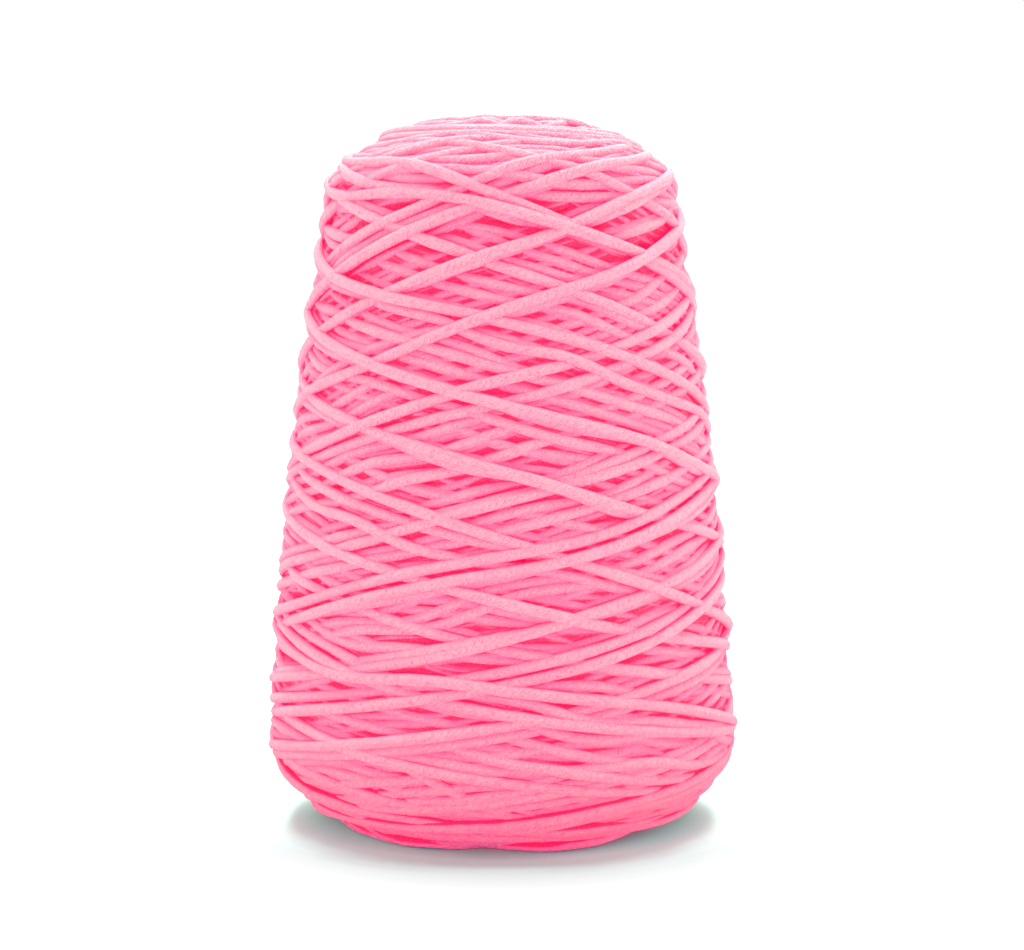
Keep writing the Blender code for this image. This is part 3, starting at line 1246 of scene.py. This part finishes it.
@dataclass(frozen=True)
class YarnFinish:
    """Soft dyed acrylic, twisted from many fine plies, with painted shade, light and glow."""

    face: Colour = (1.0, 0.163, 0.148, 1.0)
    # painted shade between the plies, mixed with the fibres' random tone
    ply_shade_and_grain: Colour = (1.0, 0.073, 0.098, 1.0)
    # painted shade down the strands' sides and on yarn under other yarn
    shaded: Colour = (1.0, 0.070, 0.099, 1.0)
    # painted shade in the pile's deepest crevices
    deep: Colour = (1.0, 0.003, 0.020, 1.0)
    # painted glow over all the yarn, for light that scatters through it
    glow: Colour = (0.20, 0.000, 0.155, 1.0)
    # stronger painted glow in the crevices
    deep_glow: Colour = (0.75, 0.002, 0.095, 1.0)
    # how the painted shade, the crevices' painted shade and the shade between the plies spread
    shade_reach: tuple[float, float] = (-0.30, 1.00)
    shade_share: float = 0.90
    hollow_reach: tuple[float, float] = (0.74, 1.04)
    face_reach: tuple[float, float] = (0.38, 0.86)
    plies: int = 10
    ply_height: float = 0.46
    ply_wander: float = 4.0
    fibre_scale: float = 4.0
    fibre_stretch: float = 1.1
    fibre_height: float = 0.62
    fuzz_scale: float = 1500.0
    fuzz_height: float = 0.54
    relief: float = 0.0009
    roughness: float = 0.95
    specular: float = 0.08
    sheen: float = 0.09
    sheen_roughness: float = 0.6
    sheen_tint: Colour = (1.0, 0.85, 0.62, 1.0)
    scatter: float = 0.35
    scatter_colours: tuple[float, float, float] = (1.0, 0.2, 0.3)
    scatter_reach: float = 0.002

    def material(self) -> bpy.types.Material:
        """The yarn's material. It reads the strands' own UV map and their painted shade
        attribute.

        Returns:
            The material.
        """
        nodes = Nodes("yarn_pink")
        height = self.relief_height(nodes)
        # the painted shade and light that the strands carry
        painted_shade = nodes.add("Attribute", {}, attribute_name="painted_shade").outputs["Fac"]
        shade = nodes.math("MULTIPLY", nodes.ramp(painted_shade, self.shade_reach), self.shade_share)
        # painted shade in the crevices
        hollow = nodes.ramp(painted_shade, self.hollow_reach)
        # painted shade between the plies, and random fibre tone, both from the relief
        tone = nodes.mix(nodes.ramp(height, self.face_reach), self.ply_shade_and_grain, self.face)
        # painted shade down the strands' sides and under other strands
        tone = nodes.mix(shade, tone, self.shaded)
        bump = nodes.add("Bump", {"Strength": 1.0, "Distance": self.relief, "Height": height})
        nodes.feed(nodes.shader, {
            # painted crevice shade on the base colour
            "Base Color": nodes.mix(hollow, tone, self.deep),
            # painted glow, stronger in the crevices
            "Emission Color": nodes.mix(hollow, self.glow, self.deep_glow),
            "Emission Strength": 1.0,
            "Normal": bump.outputs[0],
            "Roughness": self.roughness,
            "Specular IOR Level": self.specular,
            "Sheen Weight": self.sheen,
            "Sheen Roughness": self.sheen_roughness,
            "Sheen Tint": self.sheen_tint,
            "Subsurface Weight": self.scatter,
            "Subsurface Radius": self.scatter_colours,
            "Subsurface Scale": self.scatter_reach,
        })
        return nodes.material

    def relief_height(self, nodes: Nodes) -> bpy.types.NodeSocket:
        """Plies that wind round the strand, with loose fibres along and across them.

        Args:
            nodes: The material's nodes.

        Returns:
            The height of the relief.
        """
        unwrapped = nodes.add("UVMap", {}, uv_map="UVMap").outputs[0]
        uv = nodes.add("SeparateXYZ", {0: unwrapped}).outputs
        spiral = nodes.math("MULTIPLY", nodes.math("ADD", uv["Y"], uv["X"]), math.tau)
        place = nodes.add("CombineXYZ", {
            0: nodes.math("COSINE", spiral),
            1: nodes.math("SINE", spiral),
            2: nodes.math("MULTIPLY", uv["X"], self.fibre_stretch),
        })
        fibre = nodes.add("TexNoise", {
            "Scale": self.fibre_scale, "Detail": 4.0, "Roughness": 0.65,
            "Vector": place.outputs[0],
        }).outputs["Fac"]
        fuzz = nodes.add("TexNoise", {
            "Scale": self.fuzz_scale, "Detail": 3.0, "Vector": nodes.place(),
        }).outputs["Fac"]
        wander = nodes.math("MULTIPLY", fibre, self.ply_wander)
        phase = nodes.math("MULTIPLY_ADD", spiral, 0.5 * self.plies, wander)
        ply = nodes.math("ABSOLUTE", nodes.math("SINE", phase))
        ply = nodes.math("MULTIPLY", ply, fuzz)
        loose = nodes.math("MULTIPLY", fibre, self.fibre_height)
        loose = nodes.math("MULTIPLY_ADD", fuzz, self.fuzz_height, loose)
        return nodes.math("MULTIPLY_ADD", ply, self.ply_height, loose)


@dataclass(frozen=True)
class CoreFinish:
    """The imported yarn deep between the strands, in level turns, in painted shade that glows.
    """

    # lit and shaded copies of the core's painted shade, banded like rounded turns
    lit: Colour = (1.0, 0.010, 0.080, 1.0)
    dark: Colour = (0.95, 0.002, 0.060, 1.0)
    lit_reach: tuple[float, float] = (0.2, 1.0)
    pitch: float = 0.0031
    wander: float = 16.0
    wander_scale: float = 70.0
    # painted glow: the core glows though it is no lamp
    glow: float = 0.7

    def material(self) -> bpy.types.Material:
        """Painted shade, a deep matte pink that glows, banded like turns of yarn that wander up
        and down.

        Returns:
            The material.
        """
        nodes = Nodes("yarn_deep_painted_shade")
        place = nodes.place()
        wander = nodes.add("TexNoise", {"Scale": self.wander_scale, "Vector": place})
        height = nodes.add("SeparateXYZ", {0: place}).outputs["Z"]
        turns = nodes.math("MULTIPLY", height, math.pi / self.pitch)
        phase = nodes.math("MULTIPLY_ADD", wander.outputs["Fac"], self.wander, turns)
        strand = nodes.math("ABSOLUTE", nodes.math("SINE", phase))
        colour = nodes.mix(nodes.ramp(strand, self.lit_reach), self.dark, self.lit)
        nodes.feed(nodes.shader, {
            "Base Color": colour,
            "Emission Color": colour,
            "Emission Strength": self.glow,
            "Roughness": 1.0,
            "Specular IOR Level": 0.0,
        })
        return nodes.material


@dataclass(frozen=True)
class Lamp:
    """A square soft box that faces the middle of the cone."""

    name: str
    place: tuple[float, float, float]
    size: float
    power: float
    aim: tuple[float, float, float] = (0.0, 0.0, 0.08)

    def build(self) -> None:
        """Hangs the lamp."""
        data = bpy.data.lights.new(self.name, "AREA")
        data.size = self.size
        data.energy = self.power
        lamp = bpy.data.objects.new(self.name, data)
        lamp.location = self.place
        ahead = Vector(self.aim) - Vector(self.place)
        lamp.rotation_euler = ahead.to_track_quat("-Z", "Y").to_euler()
        bpy.context.scene.collection.objects.link(lamp)


@dataclass(frozen=True)
class Studio:
    """A white sweep with a painted contact shadow, soft light and the camera."""

    camera_distance: float = 0.5
    camera_height: float = 0.115
    camera_side: float = 0.0025
    camera_tip: float = 0.0594
    lens: float = 70.84
    sensor: float = 36.0
    floor_size: float = 6.0
    painted_floor_shadow: tuple[tuple[float, tuple[float, float, float]], ...] = (
        # distance from the painted shadow's centre, painted shadow colour that stays grey in the
        # pink bounce
        (0.044, (0.29, 0.73, 0.54)),
        (0.0505, (0.385, 0.75, 0.635)),
        (0.0545, (0.455, 0.735, 0.665)),
        (0.058, (0.43, 0.60, 0.57)),
        (0.0625, (0.310, 0.408, 0.397)),
        (0.0665, (0.241, 0.287, 0.281)),
        (0.0715, (0.219, 0.253, 0.251)),
        (0.080, (0.221, 0.247, 0.247)),
        (0.092, (0.42, 0.44, 0.44)),
        (0.130, (1.0, 1.0, 1.0)),
    )
    # the painted shadow is centred a little behind the axis, so it reaches further in front
    painted_shadow_centre: tuple[float, float, float] = (0.0, 0.008, 0.0)
    room_light: float = 1.05
    lamps: tuple[Lamp, ...] = (
        Lamp("top", (0.0, 0.02, 1.1), 0.8, 54.0),
        Lamp("back", (0.0, 0.7, 0.8), 0.7, 12.0),
        Lamp("front", (-0.15, -1.0, 0.12), 0.6, 11.0),
        Lamp("left", (-0.9, 0.0, 0.12), 0.7, 5.0),
        Lamp("right", (0.9, 0.0, 0.12), 0.7, 8.0),
    )

    def camera(self) -> None:
        """Puts the camera at the front, a little above the middle."""
        data = bpy.data.cameras.new("camera")
        data.lens = self.lens
        data.sensor_width = self.sensor
        data.sensor_fit = "HORIZONTAL"
        data.clip_start = 0.01
        camera = bpy.data.objects.new("camera", data)
        camera.location = (self.camera_side, -self.camera_distance, self.camera_height)
        camera.rotation_euler = (0.5 * math.pi - self.camera_tip, 0.0, 0.0)
        bpy.context.scene.collection.objects.link(camera)
        bpy.context.scene.camera = camera

    def floor_material(self) -> bpy.types.Material:
        """A matte white, with a contact shadow painted round the cone's foot.

        Returns:
            The material.
        """
        nodes = Nodes("floor_white_painted_shadow")
        ends = {0: nodes.place(), 1: self.painted_shadow_centre}
        away = nodes.add("VectorMath", ends, operation="DISTANCE")
        # painted contact shadow, darker near the cone's foot and white further out
        painted_shadow_ramp = nodes.add("ValToRGB", {0: away.outputs[1]})
        marks = painted_shadow_ramp.color_ramp.elements
        for _ in self.painted_floor_shadow[2:]:
            marks.new(0.5)
        for mark, (distance, colour) in zip(marks, self.painted_floor_shadow):
            mark.position = distance
            mark.color = (*colour, 1.0)
        nodes.feed(nodes.shader, {
            "Base Color": painted_shadow_ramp.outputs[0], "Roughness": 1.0, "Specular IOR Level": 0.0,
        })
        return nodes.material

    def floor(self) -> None:
        """Lays a wide white floor, with its painted contact shadow."""
        bm = bmesh.new()
        bmesh.ops.create_grid(bm, x_segments=2, y_segments=2, size=self.floor_size)
        mesh = bpy.data.meshes.new("floor")
        bm.to_mesh(mesh)
        bm.free()
        mesh.materials.append(self.floor_material())
        linked(mesh)

    def light(self) -> None:
        """Lights an even room, and soft boxes above, at both sides, before and behind."""
        world = bpy.data.worlds.new("room")
        bpy.context.scene.world = world
        world.use_nodes = True
        back = world.node_tree.nodes["Background"]
        back.inputs["Color"].default_value = (1.0, 1.0, 1.0, 1.0)
        back.inputs["Strength"].default_value = self.room_light
        for lamp in self.lamps:
            lamp.build()
        bpy.context.scene.view_settings.view_transform = "Standard"

    def build(self) -> None:
        """Sets up the whole studio."""
        self.camera()
        self.floor()
        self.light()


def main() -> None:
    """Builds the cone and reports each piece."""
    logging.basicConfig(level=logging.INFO, format="%(name)s: %(message)s")
    outline = Outline(height=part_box(NODE)[1].z)
    yarn = Yarn()
    winding = Winding(outline, yarn, ClimbLaw(outline))
    winding.wind()
    bore = Bore(outline, yarn)
    # the core's material is painted shade with a painted glow
    pink, deep = YarnFinish().material(), CoreFinish().material()
    assemblies = ((Strands(winding), pink), (bore, pink), (Backing(outline, bore), deep))
    for assembly, finish in assemblies:
        for piece in assembly.dress(finish):
            LOG.info("%s: %d faces", piece.name, len(piece.data.polygons))
    Studio().build()


if __name__ == "__main__":
    main()
